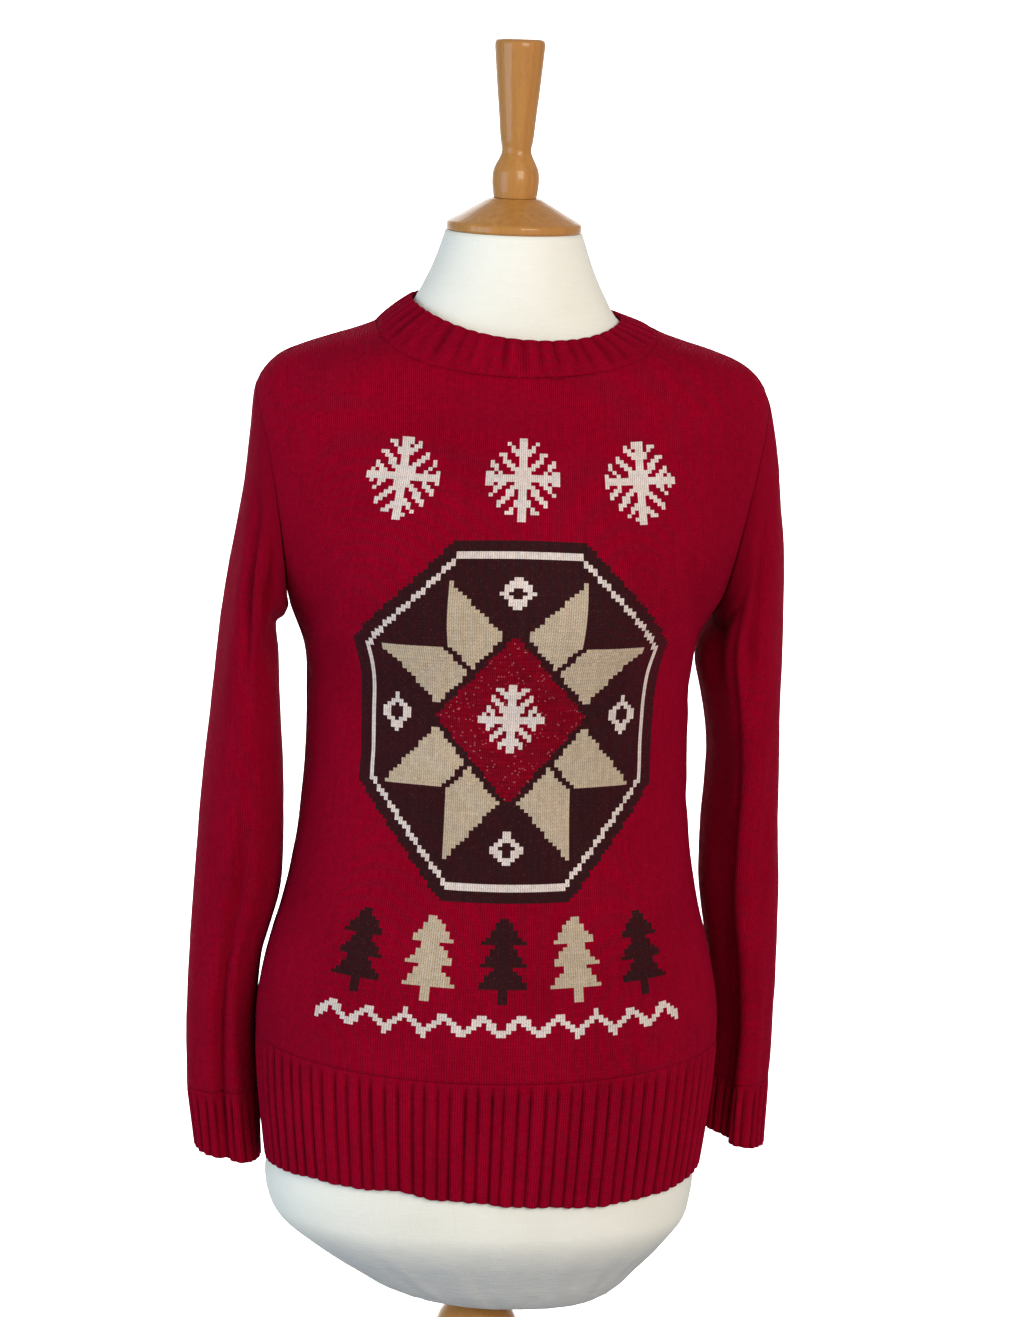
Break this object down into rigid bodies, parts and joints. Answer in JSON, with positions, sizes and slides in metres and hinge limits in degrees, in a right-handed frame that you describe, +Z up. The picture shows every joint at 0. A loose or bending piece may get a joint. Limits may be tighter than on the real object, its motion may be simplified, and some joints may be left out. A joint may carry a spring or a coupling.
{
  "type": "knitted jumper on a dress form",
  "caption": "Crew-neck knitted jumper with long set-in sleeves and ribbed edges, worn by a limbless padded dress form on a turned wooden stand.",
  "frame": {"origin": "centre of the wooden foot's underside, on the floor", "axes": "+X to the wearer's left, -Y out of the jumper's front, +Z up"},
  "size_m": [0.4287, 0.352, 1.588],
  "materials": {
    "knit": "fine stockinette in crimson wool, with inlaid motifs on the front",
    "rib": "crimson ribbing",
    "linen": "off-white linen stretched over padding",
    "beech": "honey-coloured beech with a satin varnish"
  },
  "bodies": {
    "root": {"front_panel": "knit", "back_panel": "knit", "front_welt": "rib", "back_welt": "rib", "neckband": "rib", "sleeve_left": "knit", "sleeve_right": "knit", "cuff_left": "rib", "cuff_right": "rib", "form_body": "linen", "neck_cap": "beech", "finial": "beech", "stand_knob": "beech", "stand_pole": "beech", "stand_socket": "beech", "stand_foot": "beech"}
  },
  "joints": []
}
